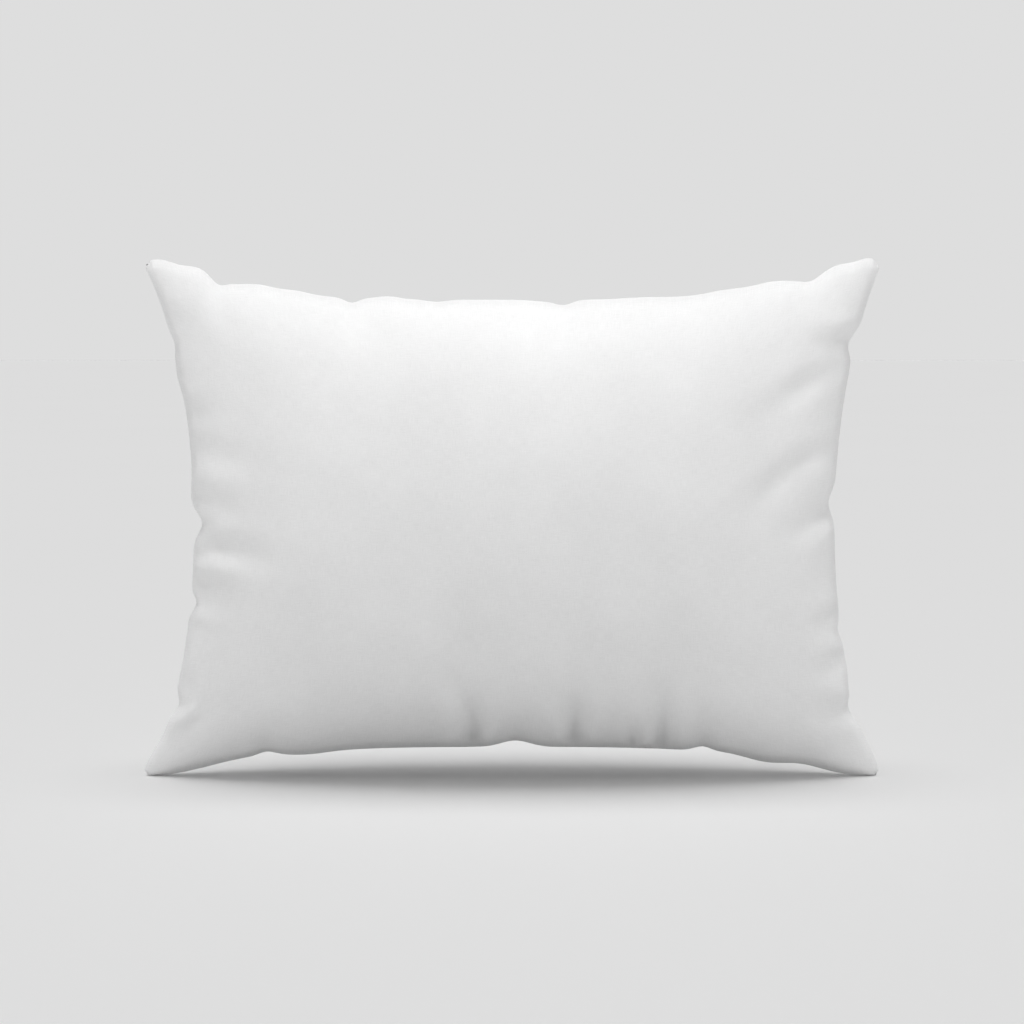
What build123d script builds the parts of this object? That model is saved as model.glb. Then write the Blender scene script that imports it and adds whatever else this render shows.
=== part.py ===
from build123d import *
import os
from dataclasses import dataclass, replace

# A bed pillow: a zipped cotton cover over an inner pillow of ticking, filled with fibre.
# Millimetres. X runs along the long side, Y from the front panel to the back panel, Z up.
# The pillow stands on its two lower corner tips, and the origin is on the floor under its middle.

# Driving sizes
WIDTH = 690.0          # corner tip to corner tip
HEIGHT = 484.0         # corner tip to corner tip
LOFT = 190.0           # front crown to back crown
CLOTH = 1.0            # thickness that each woven panel is given
SEAM_GAP = 0.15        # from the middle plane to each panel, along the seam

# The seam draws in between the corners
SIDE_PULL = 43.0
TOP_PULL = 38.0
BOTTOM_PULL = 33.0
SIDE_POWER = 2.1       # the sides curve all the way along
LONG_POWER = 3.5       # the top and bottom are straighter, and turn near the corners
CROWN_CUT = 1.0        # the crowns end flat, as they do on a mattress

# The pillow's weight flattens and spreads its two lower tips on the floor
FOOT_RADIUS = 12.0
FOOT_HEIGHT = 8.0
FOOT_EDGE = 3.0
TIP_LIFT = 1.0         # the cloth's own lower corners end this far above the floor

# Seam allowances and the thread round their edges
ALLOWANCE = 10.0
ALLOWANCE_GAP = 2.0    # from the inside of the panels
CORNER_CLIP = 45.0     # cut away at each corner, so that the tips turn out sharp
THREAD = 1.2
THREAD_HALF = 1.5
THREAD_GAP = 0.1

# The inner pillow and its filling, each layer inside the last
TICKING_TIP = 34.0               # inward from the cover's corner tips
TICKING_SIDE = 19.0              # inward from the cover, half way up the sides
TICKING_TOP_PULL = 25.0
TICKING_FOOT = 32.0              # height of the inner pillow's lower tips
TICKING_BOTTOM_PULL = 18.0
TICKING_BOTTOM_POWER = 5.0       # nearly straight along the zip
CROWN_GAP = 0.8                  # between cover and ticking, where they press together
LAYER_GAP = 0.4
WRAP = 16.0
STITCHES = 12                    # that close the gap the fibre went in through
STITCH_REACH = 0.45              # part of the side that they close
STITCH_SIZE = (1.0, 4.0, 1.0)
LABEL_ACROSS = (0.93, 0.995)     # on the ticking's back, beside the side seam
LABEL_UP = (-0.2, 0.0)
LABEL_THICKNESS = 0.6
LABEL_GAP = 0.7                  # from the ticking to the middle of the label

# The zip in the lower seam, hidden between two turned-in hems
ZIP_START = -222.0
ZIP_END = 172.0
SLOT_HALF = 5.2
SLOT_OVERRUN = 8.0
TAPE_OVERRUN = 12.0
HEM_TOP = 44.0
TAPE_Z = (44.1, 44.7)
TAPE_HALF = 12.5
TAPE_INNER = 0.4
PITCH = 8.0
TOOTH = 3.7
TOOTH_ROOT = 0.9
TOOTH_REACH = 0.8
HEAD_HALF = 2.6
HEAD_Z = (42.0, 43.0)
NECK_HALF = 1.6
STOP = 3.0
STOP_GAP = 0.2
TAPE_STITCH = (18.0, 0.5, 0.4)
TAPE_STITCH_PITCH = 24.0
TAPE_STITCH_Y = 9.5
TACK = (1.6, 10.2, 4.0)
TACK_Z = 33.0

# The slider and its pull tab
SLIDER_LENGTH = 9.0
SLIDER_HALF = 4.3
SLIDER_INNER = 3.0
PLATE_Z = (40.6, 41.7)
LIP_Z = (43.3, 43.8)
LIP_INNER = 2.0
BRIDGE_Z = (38.2, 38.9)
BRIDGE_HALF = (3.2, 0.8)
BRIDGE_LEG = 1.0
PIVOT_Z = 39.6
PIVOT_RADIUS = 0.5
PULL_HALF = 2.6
PULL_ARM = 1.0
PULL_EYE = 3.6
PULL_LENGTH = 10.4
PARKED = ZIP_END - SLIDER_LENGTH / 2 - 1.0

GRID = (37, 29)        # points along and up each curved surface
EDGE_POINTS = 29       # points along each edge of a flat seam outline


@dataclass
class Layer:
    """One closed bag of cloth or fibre: its corner tips, its pull-in and its crown."""

    half_width: float
    low: float
    high: float
    crown: float
    side_pull: float
    top_pull: float
    bottom_pull: float
    bottom_power: float = LONG_POWER


COVER = Layer(
    WIDTH / 2,
    TIP_LIFT,
    HEIGHT,
    LOFT / 2 + CROWN_CUT,
    SIDE_PULL,
    TOP_PULL,
    BOTTOM_PULL,
)
COVER_SIDE = COVER.half_width - COVER.side_pull
TICKING = Layer(
    WIDTH / 2 - TICKING_TIP,
    TICKING_FOOT,
    HEIGHT - TICKING_TIP,
    LOFT / 2 - CLOTH - CROWN_GAP,
    WIDTH / 2 - TICKING_TIP - (COVER_SIDE - TICKING_SIDE),
    TICKING_TOP_PULL,
    TICKING_BOTTOM_PULL,
    TICKING_BOTTOM_POWER,
)


def inside(layer, gap, crown_gap=None):
    """The same bag, smaller by a gap on every side."""
    return replace(
        layer,
        half_width=layer.half_width - gap,
        low=layer.low + gap,
        high=layer.high - gap,
        crown=layer.crown - (gap if crown_gap is None else crown_gap),
    )


def seam_point(layer, s, t):
    """Where the cloth at s across and t up, each from -1 to 1, lies in the seam's plane."""
    middle = (layer.low + layer.high) / 2
    half = (layer.high - layer.low) / 2
    x = s * (layer.half_width - layer.side_pull * (1 - abs(t) ** SIDE_POWER))
    power = LONG_POWER if t > 0 else layer.bottom_power
    pull = layer.top_pull if t > 0 else layer.bottom_pull
    z = middle + t * (half - pull * (1 - abs(s) ** power))
    return x, z


def seam_outline(layer):
    """The flat outline of the bag at its seam, as one closed wire of four curves."""
    steps = [2 * i / (EDGE_POINTS - 1) - 1 for i in range(EDGE_POINTS)]
    sides = [
        [(s, -1) for s in steps],
        [(1, t) for t in steps],
        [(-s, 1) for s in steps],
        [(-1, -t) for t in steps],
    ]
    edges = []
    for side in sides:
        spots = [seam_point(layer, s, t) for s, t in side]
        edges.append(Edge.make_spline([(x, 0, z) for x, z in spots]))
    return Wire(edges)


def swell(place):
    """How full the bag is at a place from -1 to 1: nearly elliptic, and steep at the seam."""
    return 1 - (place**2 + place**8) / 2


def crown_face(layer, base=0.0, across=(-1, 1), up=(-1, 1)):
    """The front crown, or a patch of it, rising from a base plane at a value of Y."""
    columns, rows = GRID
    grid = []
    for j in range(rows):
        t = up[0] + (up[1] - up[0]) * j / (rows - 1)
        row = []
        for i in range(columns):
            s = across[0] + (across[1] - across[0]) * i / (columns - 1)
            x, z = seam_point(layer, s, t)
            row.append((x, base - (layer.crown + base) * swell(s) * swell(t), z))
        grid.append(row)
    return Face.make_surface_from_array_of_points(grid, tol=0.05, min_deg=3, max_deg=5)


def bulge(layer, base=0.0):
    """The front half of a bag, filled solid, in front of a base plane at a value of Y."""
    crown = crown_face(layer, base)
    return Solid(Shell([crown, Face(Wire(crown.edges()))]))


def block(x, y, z):
    """A box between two values along each axis."""
    size = [high - low for low, high in (x, y, z)]
    middle = [(high + low) / 2 for low, high in (x, y, z)]
    return Pos(*middle) * Box(*size)


def seam_plate(layer, y):
    """A flat plate that fills the bag's seam outline, between two values of Y."""
    face = Face(seam_outline(layer)).moved(Location((0, y[0], 0)))
    return extrude(face, amount=y[1] - y[0], dir=(0, 1, 0))


def seam_ring(layer, outer, inner, y):
    """A flat ring that follows the seam, between two insets and two values of Y."""
    return seam_plate(inside(layer, outer), y) - seam_plate(inside(layer, inner), y)


def mirrored(front):
    """The back twin of a front piece."""
    return mirror(front, about=Plane.XZ)


def zip_mouth(half, top):
    """The space that the zip's opening takes out of the lower seam."""
    return block((ZIP_START - SLOT_OVERRUN, ZIP_END + SLOT_OVERRUN), (-half, half), (0, top))


def foot(side):
    """The front half of a lower corner tip where it is spread on the floor."""
    disc = Cylinder(FOOT_RADIUS, FOOT_HEIGHT, align=(Align.CENTER, Align.CENTER, Align.MIN))
    disc = fillet(disc.edges().group_by(Axis.Z)[-1], FOOT_EDGE)
    front = block((-FOOT_RADIUS, FOOT_RADIUS), (-FOOT_RADIUS, -SEAM_GAP), (0, FOOT_HEIGHT))
    return Pos(side * (WIDTH / 2 - FOOT_RADIUS), 0, 0) * (disc & front)


def clipped_ring(layer, outer, inner, y):
    """A seam ring with its four corners cut away, as a list of strips."""
    ring = seam_ring(layer, outer, inner, y)
    right = (layer.half_width - CORNER_CLIP, layer.half_width)
    left = (-layer.half_width, CORNER_CLIP - layer.half_width)
    low = (layer.low, layer.low + CORNER_CLIP)
    high = (layer.high - CORNER_CLIP, layer.high)
    for x in (left, right):
        for z in (low, high):
            ring -= block(x, y, z)
    return ring.solids()


def seam_allowance(layer):
    """The turned-in edges of the two panels, flat against each other, clipped at the corners."""
    y = (-CLOTH - SEAM_GAP, -SEAM_GAP)
    strips = clipped_ring(layer, CLOTH + ALLOWANCE_GAP, ALLOWANCE, y)
    return strips + [mirrored(strip) for strip in strips]


def overlocking(layer):
    """The thread round the inner edge of both turned-in edges, one strip to each side."""
    edge = ALLOWANCE + THREAD_GAP
    return clipped_ring(layer, edge, edge + THREAD, (-THREAD_HALF, THREAD_HALF))


def without_mouth(strips):
    """The same strips of the cover's seam, ended where the zip's opening begins."""
    mouth = zip_mouth(TAPE_HALF, HEM_TOP + 2 * ALLOWANCE)
    ended = []
    for strip in strips:
        ended += (strip - mouth).solids()
    return Compound(children=ended)


def cover_panel():
    """The front panel of the cover, with the hem turned in along the zip."""
    outer = bulge(COVER, -SEAM_GAP)
    hem_x = (ZIP_START - TAPE_OVERRUN, ZIP_END + TAPE_OVERRUN)
    hem = block(hem_x, (-SLOT_HALF - CLOTH, -SLOT_HALF), (0, HEM_TOP)) & outer
    shelf = block(hem_x, (-TAPE_HALF, -SLOT_HALF), (HEM_TOP - CLOTH, HEM_TOP))
    cloth = outer - block((-WIDTH, WIDTH), (-LOFT, -LOFT / 2), (0, HEIGHT))
    cloth -= bulge(inside(COVER, CLOTH, CLOTH + CROWN_CUT), -SEAM_GAP)
    cloth += hem
    cloth += shelf
    cloth -= zip_mouth(SLOT_HALF, HEM_TOP)
    return cloth + foot(-1) + foot(1)


def ticking_panel():
    """The front panel of the inner pillow."""
    return bulge(TICKING, -SEAM_GAP) - bulge(inside(TICKING, CLOTH), -SEAM_GAP)


def closing_stitch():
    """Overcast stitches across the seam's edge, half way up the left side."""
    depth, width, height = STITCH_SIZE
    stitches = []
    for i in range(STITCHES):
        t = STITCH_REACH * (2 * i / (STITCHES - 1) - 1)
        x, z = seam_point(TICKING, -1, t)
        stitches.append(Pos(x - LAYER_GAP - depth / 2, 0, z) * Box(depth, width, height))
    return Compound(children=stitches)


def care_label():
    """A blank folded tape that lies along the ticking's back, sewn in at the side seam."""
    patch = crown_face(inside(TICKING, -LABEL_GAP), -SEAM_GAP, LABEL_ACROSS, LABEL_UP)
    return mirrored(thicken(patch, amount=LABEL_THICKNESS / 2, both=True))


WRAP_LAYER = inside(TICKING, CLOTH + LAYER_GAP)
CORE_LAYER = inside(WRAP_LAYER, WRAP)


def fibre_wrap():
    """The front batt: a thick sheet of fibre that lies between the ticking and the core."""
    base = -THREAD_HALF - LAYER_GAP
    return bulge(WRAP_LAYER, base) - bulge(CORE_LAYER, base)


def fibre_core():
    """The loose fibre in the middle."""
    half = bulge(inside(CORE_LAYER, LAYER_GAP))
    return half + mirrored(half)


def zip_tape():
    """The front tape, which lies across the top of the hems."""
    ends = (ZIP_START - TAPE_OVERRUN, ZIP_END + TAPE_OVERRUN)
    return block(ends, (-TAPE_HALF, -TAPE_INNER), TAPE_Z)


def zip_coil(side, offset):
    """One half of the chain: a comb of teeth, hung under its tape by a narrower neck."""
    spots = [(ZIP_END, side * TOOTH_ROOT), (ZIP_END, side * HEAD_HALF)]
    spots += [(ZIP_START, side * HEAD_HALF), (ZIP_START, side * TOOTH_ROOT)]
    for i in range(int((ZIP_END - ZIP_START) / PITCH)):
        x = ZIP_START + i * PITCH + offset
        spots += [(x, side * TOOTH_ROOT), (x, -side * TOOTH_REACH)]
        spots += [(x + TOOTH, -side * TOOTH_REACH), (x + TOOTH, side * TOOTH_ROOT)]
    comb = make_face(Polyline(*spots, close=True)).moved(Location((0, 0, HEAD_Z[0])))
    head = extrude(comb, amount=HEAD_Z[1] - HEAD_Z[0], dir=(0, 0, 1))
    neck_y = sorted((side * TAPE_INNER, side * NECK_HALF))
    return head + block((ZIP_START, ZIP_END), neck_y, (HEAD_Z[1], TAPE_Z[0]))


def zip_stitching():
    """Two rows of straight stitches that hold the tapes to the hems."""
    rows = []
    count = int((ZIP_END - ZIP_START) / TAPE_STITCH_PITCH)
    z = TAPE_Z[1] + THREAD_GAP + TAPE_STITCH[2] / 2
    for side in (-1, 1):
        for i in range(count + 1):
            x = ZIP_START + i * TAPE_STITCH_PITCH
            rows.append(Pos(x, side * TAPE_STITCH_Y, z) * Box(*TAPE_STITCH))
    return Compound(children=rows)


def zip_top_stops():
    """A crimp on each half of the chain, where the zip is closed."""
    x = (ZIP_END + STOP_GAP, ZIP_END + STOP_GAP + STOP)
    z = (HEAD_Z[0], HEM_TOP)
    front = block(x, (-HEAD_HALF, -TAPE_INNER), z)
    return Compound(children=[front, mirrored(front)])


def zip_bottom_stop():
    """One crimp over both halves, where the zip is open."""
    x = (ZIP_START - STOP_GAP - STOP, ZIP_START - STOP_GAP)
    return block(x, (-HEAD_HALF, HEAD_HALF), (HEAD_Z[0], HEM_TOP))


def zip_bar_tacks():
    """Dense stitching from hem to hem at both ends of the opening."""
    ends = [ZIP_START - SLOT_OVERRUN + TACK[0] / 2, ZIP_END + SLOT_OVERRUN - TACK[0] / 2]
    return Compound(children=[Pos(x, 0, TACK_Z) * Box(*TACK) for x in ends])


def both_sides(x, y, z):
    """A box on the front side and its twin on the back side, y given outward."""
    return block(x, y, z) + block(x, (-y[1], -y[0]), z)


def zip_slider():
    """The slider's plate, the flanges that hook round the chain, and the pull's bridge."""
    x = (PARKED - SLIDER_LENGTH / 2, PARKED + SLIDER_LENGTH / 2)
    plate = block(x, (-SLIDER_HALF, SLIDER_HALF), PLATE_Z)
    flanges = both_sides(x, (SLIDER_INNER, SLIDER_HALF), (PLATE_Z[1], LIP_Z[1]))
    lips = both_sides(x, (LIP_INNER, SLIDER_INNER), LIP_Z)
    length, width = BRIDGE_HALF
    bar = block((PARKED - length, PARKED + length), (-width, width), BRIDGE_Z)
    leg_z = (BRIDGE_Z[0], PLATE_Z[0])
    near = block((PARKED - length, PARKED - length + BRIDGE_LEG), (-width, width), leg_z)
    far = block((PARKED + length - BRIDGE_LEG, PARKED + length), (-width, width), leg_z)
    return plate + flanges + lips + bar + near + far


def zip_pull_tab():
    """The tab, hanging from a crossbar that runs through the slider's bridge."""
    x = (PARKED - PIVOT_RADIUS, PARKED + PIVOT_RADIUS)
    bar = Pos(PARKED, 0, PIVOT_Z) * Rot(90, 0, 0) * Cylinder(PIVOT_RADIUS, 2 * PULL_HALF)
    arm_z = (PIVOT_Z - PULL_EYE, PIVOT_Z)
    arms = both_sides(x, (PULL_HALF - PULL_ARM, PULL_HALF), arm_z)
    tab = block(x, (-PULL_HALF, PULL_HALF), (PIVOT_Z - PULL_LENGTH, PIVOT_Z - PULL_EYE))
    return bar + arms + tab


def build():
    """Every sub-part of the pillow by the name of its node."""
    cover = cover_panel()
    ticking = ticking_panel()
    wrap = fibre_wrap()
    tape = zip_tape()
    return {
        "cover_front_panel": cover,
        "cover_back_panel": mirrored(cover),
        "cover_seam_allowance": without_mouth(seam_allowance(COVER)),
        "cover_seam_thread": without_mouth(overlocking(COVER)),
        "ticking_front_panel": ticking,
        "ticking_back_panel": mirrored(ticking),
        "ticking_seam_allowance": Compound(children=seam_allowance(TICKING)),
        "ticking_seam_thread": Compound(children=overlocking(TICKING)),
        "closing_stitch": closing_stitch(),
        "care_label": care_label(),
        "fibre_wrap_front": wrap,
        "fibre_wrap_back": mirrored(wrap),
        "fibre_core": fibre_core(),
        "zip_tape_front": tape,
        "zip_tape_back": mirrored(tape),
        "zip_coil_front": zip_coil(-1, PITCH / 8),
        "zip_coil_back": zip_coil(1, PITCH * 5 / 8),
        "zip_stitching": zip_stitching(),
        "zip_top_stops": zip_top_stops(),
        "zip_bottom_stop": zip_bottom_stop(),
        "zip_bar_tacks": zip_bar_tacks(),
        "zip_slider": zip_slider(),
        "zip_pull_tab": zip_pull_tab(),
    }


os.makedirs("parts", exist_ok=True)
for node, shape in build().items():
    export_step(shape, f"parts/{node}.step")
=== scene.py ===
import math

import bpy
import numpy as np
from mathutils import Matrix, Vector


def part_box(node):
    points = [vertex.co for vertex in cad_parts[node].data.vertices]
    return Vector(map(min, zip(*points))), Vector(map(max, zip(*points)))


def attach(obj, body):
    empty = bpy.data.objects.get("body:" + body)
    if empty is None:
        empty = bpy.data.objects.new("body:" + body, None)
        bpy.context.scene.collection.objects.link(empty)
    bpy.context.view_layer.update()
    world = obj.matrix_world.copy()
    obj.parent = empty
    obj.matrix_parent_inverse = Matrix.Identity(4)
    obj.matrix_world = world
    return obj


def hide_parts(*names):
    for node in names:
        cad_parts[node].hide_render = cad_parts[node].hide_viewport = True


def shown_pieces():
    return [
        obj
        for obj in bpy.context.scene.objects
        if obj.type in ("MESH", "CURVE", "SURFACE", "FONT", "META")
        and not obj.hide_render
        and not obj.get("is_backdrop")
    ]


# The looks of a bed pillow: a zipped cotton cover over an inner pillow of ticking and fibre.
# Metres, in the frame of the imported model. The front panel faces -Y.

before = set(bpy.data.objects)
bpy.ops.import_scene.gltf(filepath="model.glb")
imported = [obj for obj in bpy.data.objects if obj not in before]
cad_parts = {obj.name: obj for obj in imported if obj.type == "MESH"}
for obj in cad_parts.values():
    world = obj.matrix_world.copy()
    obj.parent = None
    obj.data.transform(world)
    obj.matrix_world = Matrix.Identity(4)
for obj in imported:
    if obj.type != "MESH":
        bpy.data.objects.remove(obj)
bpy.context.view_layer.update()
LOW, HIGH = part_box("cover_front_panel")
HALF = HIGH.x                      # half the width, at the corner tips
TOP = HIGH.z
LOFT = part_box("cover_back_panel")[1].y - LOW.y
MIDDLE = TOP / 2

# The cut of each panel of the cover and of the ticking, and the grid of the simulation
CUT = (0.70, 0.50)
TICKING_CUT = (0.66, 0.46)
CELL = 0.007
FRAMES = 40
PRESSURE = 4.0
CLOTH = 0.0007
SEAM_OPEN = 0.00015

# The pull of the seam between the corner tips
SIDE_PULL = 0.040
SIDE_TUCK = (0.0078, 0.0036)       # further in on the left and on the right, all the way along
TOP_PULL = 0.038
BOTTOM_PULL = 0.028
SIDE_POWER = 2.1
TOP_POWER = 3.6
BOTTOM_POWER = 3.0
TIP_ROUND = 0.006
TIP_SPREAD = 0.0065
TIP_LIE = 0.045                    # how far from a tip the cloth lies on the seam's own shape
TIP_THIN = 0.2
LOWER_TIP_OUT = (0.0035, 0.0045)   # the weight spreads the lower tips out and down
LOWER_TIP_REACH = 0.030

# Nicks and swellings of the seam, in millimetres: place along it, depth inward, half width
TOP_NICKS = [
    (-322, -6, 15), (-292, -9, 19), (-273, 5.5, 9), (-235, -4.5, 20), (-202, -3, 18), (-149, 4.5, 9),
    (-115, -2.5, 14), (-70, 2, 12), (30, 1.5, 16), (48, 4.5, 11), (125, -1.5, 30),
    (200, -4, 28), (243, -6, 24), (277, 2, 9), (302, -8.5, 18), (328, -5.5, 13),
]
BOTTOM_NICKS = [
    (-300, -4, 34), (-229, 3.5, 12), (-190, -2.3, 25), (3, 6, 19), (178, 4, 11),
    (240, -6, 28), (302, -5, 28),
]
LEFT_NICKS = [
    (405, 2, 9), (375, -2.5, 18), (265, -2, 18), (238, 8, 12),
    (163, 5.5, 9), (68, 5.5, 10), (18, -4, 16),
]
RIGHT_NICKS = [
    (405, 6.5, 12), (257, 6, 14), (138, 3, 10), (86, 1.5, 9),
    (64, 7, 13), (20, -2, 14),
]

# Folds of each panel, in millimetres: from x, z to x, z, then depth and half width.
# A fold is deepest where it starts. A ridge has a depth below zero.
FRONT_FOLDS = [
    (-301, 264, -264, 258, 4.6, 9), (-294, 209, -270, 219, 3.4, 8), (-270, 219, -234, 213, 3.6, 9),
    (-303, 190, -278, 178, 4.3, 8), (-302, 161, -284, 159, -2.4, 8),
    (-300, 313, -252, 300, 1.6, 9), (-306, 346, -292, 340, 2.8, 8),
    (-322, 428, -306, 424, 2.2, 9), (-316, 84, -302, 88, 3.0, 6), (-300, 64, -330, 42, -2.4, 7),
    (312, 411, 296, 402, 3.2, 8), (306, 385, 268, 368, 1.8, 9), (268, 368, 232, 342, 1.4, 9),
    (304, 313, 270, 299, 1.3, 9), (270, 299, 240, 280, 1.7, 9), (240, 280, 216, 252, 1.2, 9),
    (300, 250, 266, 236, 4.0, 8), (307, 156, 290, 151, 3.4, 6), (310, 112, 296, 107, 2.6, 8),
    (316, 82, 298, 84, -1.8, 8), (-35, 42, -33, 66, 5.5, 9), (-38, 66, -47, 90, 1.8, 7),
    (58, 42, 57, 68, 5.5, 8), (112, 36, 113, 44, 3.0, 5), (138, 38, 137, 78, 4.2, 8),
    (-134, 430, -138, 446, 1.2, 8), (12, 428, 8, 446, 1.0, 9),
]
BACK_FOLDS = [
    (-306, 246, -262, 238, 4.2, 8), (-300, 160, -256, 170, 3.6, 8), (-302, 332, -262, 318, 2.6, 9),
    (304, 250, 240, 268, 3.8, 8), (306, 352, 252, 332, 2.8, 9), (306, 162, 266, 176, 3.6, 7),
    (-96, 42, -92, 74, 4.4, 8), (24, 42, 28, 84, 4.6, 8), (150, 42, 146, 76, 3.8, 7),
    (-60, 428, -62, 446, 1.2, 9), (110, 426, 114, 444, 1.2, 9),
]
FOLD_DEPTH = 2.0                   # scale of all the depths
FOLD_ROOM = 0.018                  # folds fade where a panel is closer than this to the seam
PUCKER = (0.16, 0.026)             # share of a nick's depth, and length from the seam
SLACK = (0.0006, 0.06)             # rise of the cloth's unevenness, and where it is in full

# The zip: chain, tapes and hems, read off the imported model
ZIP_LOW, ZIP_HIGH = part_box("zip_coil_front")
TAPE_LOW, TAPE_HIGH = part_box("zip_tape_front")
SLOT_HALF = 0.0052
SLOT_RAMP = 0.012
HEM_TOP = TAPE_LOW.z - 0.0008
COIL_PITCH = 0.0016
COIL_WIRE = 0.00027

TICKING_LOW, TICKING_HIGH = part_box("ticking_front_panel")
TICKING_SIDE = 0.027
TICKING_TOP = 0.025
TICKING_BOTTOM = 0.018
TICKING_BOTTOM_POWER = 5.0
TICKING_FULLNESS = 0.985

# The turned-in edges: near and far side, the layers' inner and outer face, and the corners' cut
ALLOWANCE = (0.0022, 0.0100)
ALLOWANCE_LAYER = (0.0003, 0.0010)
CORNER_CLIP = 0.045
MOUTH_SPARE = 0.008                # no turned-in edges this far past the ends of the zip

# Stitches
OVERLOCK_PITCH = 0.0028
CLOSING_PITCH = 0.0045
CLOSING_HALF = 0.088
STITCH_PITCH = 0.0031
STITCH_LENGTH = 0.0024
STITCH_LINE = 0.0095               # from the middle of the zip
COIL_HEIGHT = 0.0430

# The studio
CAMERA_ANGLE = math.radians(4.0)
CAMERA_DISTANCE = 2.258
CAMERA_AIM = 0.2485                # height that the view is centred on
BACKDROP = 0.73                    # brightness behind the pillow, and of the floor
ROOM = 0.33
OVERHEAD = 1.5
SOFTBOX = 4.6
SOFTBOX_PLACE = (0, -0.70, 1.12)
SOFTBOX_TILT = math.radians(37.5)
SIDE_LIGHT = 1.25
SIDE_PLACE = (0.9, -0.5, 0.2)
FLOOR_SIZE = 60.0
DOME_RADIUS = 55.0


def nick_depth(nicks, place):
    """How far the nicks of one seam pull it in at each place along it, in metres."""
    total = np.zeros_like(place)
    for at, depth, spread in nicks:
        total += depth * 1e-3 * np.exp(-(((place * 1e3 - at) / spread) ** 2))
    return total


def spots(columns, rows):
    """The places across and up a panel, each from -1 to 1, as two arrays."""
    return np.meshgrid(np.linspace(-1, 1, columns), np.linspace(-1, 1, rows))


def cover_plane(s, t):
    """Where each spot of a cover panel lies in the seam's plane, with the seam's nicks."""
    tuck = np.where(s < 0, *SIDE_TUCK) * (1 - np.abs(t) ** 6)
    x = s * (HALF - tuck - SIDE_PULL * (1 - np.abs(t) ** SIDE_POWER))
    pull = np.where(t > 0, TOP_PULL, BOTTOM_PULL)
    power = np.where(t > 0, TOP_POWER, BOTTOM_POWER)
    z = MIDDLE + t * (MIDDLE - pull * (1 - np.abs(s) ** power))
    side = np.where(s > 0, nick_depth(RIGHT_NICKS, z), nick_depth(LEFT_NICKS, z))
    end = np.where(t > 0, nick_depth(TOP_NICKS, x), nick_depth(BOTTOM_NICKS, x))
    x = x - np.sign(s) * side * np.abs(s) ** 10
    z = z - np.sign(t) * end * np.abs(t) ** 10
    corner = ((1 - np.abs(s)) * HALF) ** 2 + ((1 - np.abs(t)) * MIDDLE) ** 2
    tip = TIP_ROUND * np.exp(-corner / TIP_SPREAD**2)
    lower = np.where(t < 0, np.exp(-corner / LOWER_TIP_REACH**2), 0)
    x = x - np.sign(s) * (tip - LOWER_TIP_OUT[0] * lower)
    z = z - np.sign(t) * tip - LOWER_TIP_OUT[1] * lower
    return x, np.maximum(z, 0.0003)


def slot_opening(x, t):
    """How far each spot stands off the seam's plane where the zip parts the two hems."""
    start = np.clip((x - ZIP_LOW.x + SLOT_RAMP) / SLOT_RAMP, 0, 1)
    end = np.clip((ZIP_HIGH.x + SLOT_RAMP - x) / SLOT_RAMP, 0, 1)
    ramp = np.minimum(start, end)
    ramp = ramp * ramp * (3 - 2 * ramp)
    return SLOT_HALF * ramp * np.clip(-t, 0, 1) ** 8


def panel_shape(side, columns, rows):
    """One cover panel before it is inflated: side is -1 in front and 1 at the back."""
    s, t = spots(columns, rows)
    x, z = cover_plane(s, t)
    rise = LOFT / 2 * np.sqrt(np.clip((1 - s * s) * (1 - t * t), 0, None))
    y = side * (SEAM_OPEN + np.maximum(rise, slot_opening(x, t)))
    return np.stack([x, y, z], axis=-1)


def grid_faces(columns, rows, first, flip, keep=None):
    """The four-cornered faces of a grid of points, numbered from first."""
    number = first + np.arange(columns * rows).reshape(rows, columns)
    corners = [number[:-1, :-1], number[:-1, 1:], number[1:, 1:], number[1:, :-1]]
    quads = np.stack(corners[::-1] if flip else corners, axis=-1)
    if keep is not None:
        quads = quads[keep]
    return quads.reshape(-1, 4)


def inflate(front, back):
    """Blows up the two cover panels, sewn together along the seam, with Blender's Cloth."""
    rows, columns = front.shape[:2]
    points = np.concatenate([front.reshape(-1, 3), back.reshape(-1, 3)])
    faces = np.concatenate([
        grid_faces(columns, rows, 0, False),
        grid_faces(columns, rows, rows * columns, True),
    ])
    mesh = bpy.data.meshes.new("inflating")
    mesh.from_pydata(points.tolist(), [], faces.tolist())
    piece = bpy.data.objects.new("inflating", mesh)
    bpy.context.scene.collection.objects.link(piece)
    s, t = spots(columns, rows)
    flat = np.stack([s * CUT[0] / 2, 0 * s, MIDDLE + t * CUT[1] / 2], axis=-1).reshape(-1, 3)
    piece.shape_key_add(name="Basis")
    cut = piece.shape_key_add(name="cut")
    cut.data.foreach_set("co", np.concatenate([flat, flat]).ravel())
    cut.value = 0
    edge = ((np.abs(s) == 1) | (np.abs(t) == 1)).ravel()
    pinned = np.nonzero(np.concatenate([edge, edge]))[0]
    piece.vertex_groups.new(name="seam").add(pinned.tolist(), 1.0, "REPLACE")
    settle(piece, cut)
    done = piece.evaluated_get(bpy.context.evaluated_depsgraph_get())
    found = np.empty(len(points) * 3)
    done.data.vertices.foreach_get("co", found)
    bpy.data.objects.remove(piece)
    bpy.data.meshes.remove(mesh)
    found = found.reshape(2, rows, columns, 3)
    return found[0], found[1]


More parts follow.
